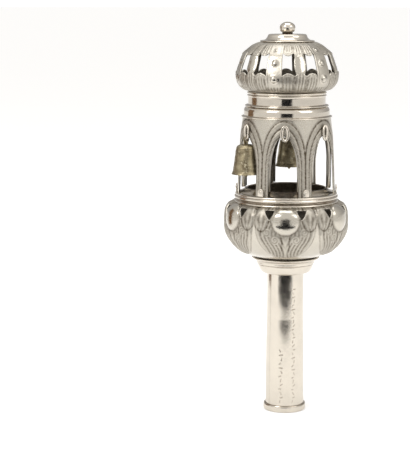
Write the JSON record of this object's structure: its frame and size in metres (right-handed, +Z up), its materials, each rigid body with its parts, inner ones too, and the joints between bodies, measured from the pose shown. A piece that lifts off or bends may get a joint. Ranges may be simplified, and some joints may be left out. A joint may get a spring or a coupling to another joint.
{
  "type": "torah finial",
  "caption": "Tall silver torah finial: tapered socket stem, chased bulb, open arched lantern with small hanging bells, plain bands, pierced dome and ball knop.",
  "frame": {"origin": "centre of the foot, on the plane it stands on", "axes": "+Z up the stem towards the knop, -Y through the front arch, +X to its right"},
  "size_m": [0.0878, 0.094, 0.275],
  "materials": {
    "silver_plain": "polished, lightly worn silver",
    "silver_chased": "matted and chased silver with darkened hollows",
    "worn_gilt": "worn gilding over cast bell metal"
  },
  "bodies": {
    "root": {"stem_tube": "silver_plain", "foot_ring": "silver_plain", "stem_collar": "silver_plain", "bulb_bowl": "silver_chased", "gallery_ring": "silver_plain", "lantern_arcade": "silver_chased", "lower_band": "silver_plain", "upper_band": "silver_plain", "pierced_dome": "silver_chased", "cap_plate": "silver_plain", "top_knop": "silver_plain", "foot_tab_1": "silver_plain", "foot_tab_2": "silver_plain", "foot_tab_3": "silver_plain", "foot_tab_4": "silver_plain", "foot_tab_5": "silver_plain", "foot_tab_6": "silver_plain", "bell_hanger_front": "silver_plain", "bell_hanger_right": "silver_plain", "bell_hanger_right_back": "silver_plain", "bell_hanger_back": "silver_plain", "bell_hanger_left_back": "silver_plain", "bell_hanger_left": "silver_plain", "bell_link_left": "worn_gilt", "bell_left": "worn_gilt", "bell_clapper_left": "worn_gilt", "bell_link_back": "worn_gilt", "bell_back": "worn_gilt", "bell_clapper_back": "worn_gilt"}
  },
  "joints": []
}
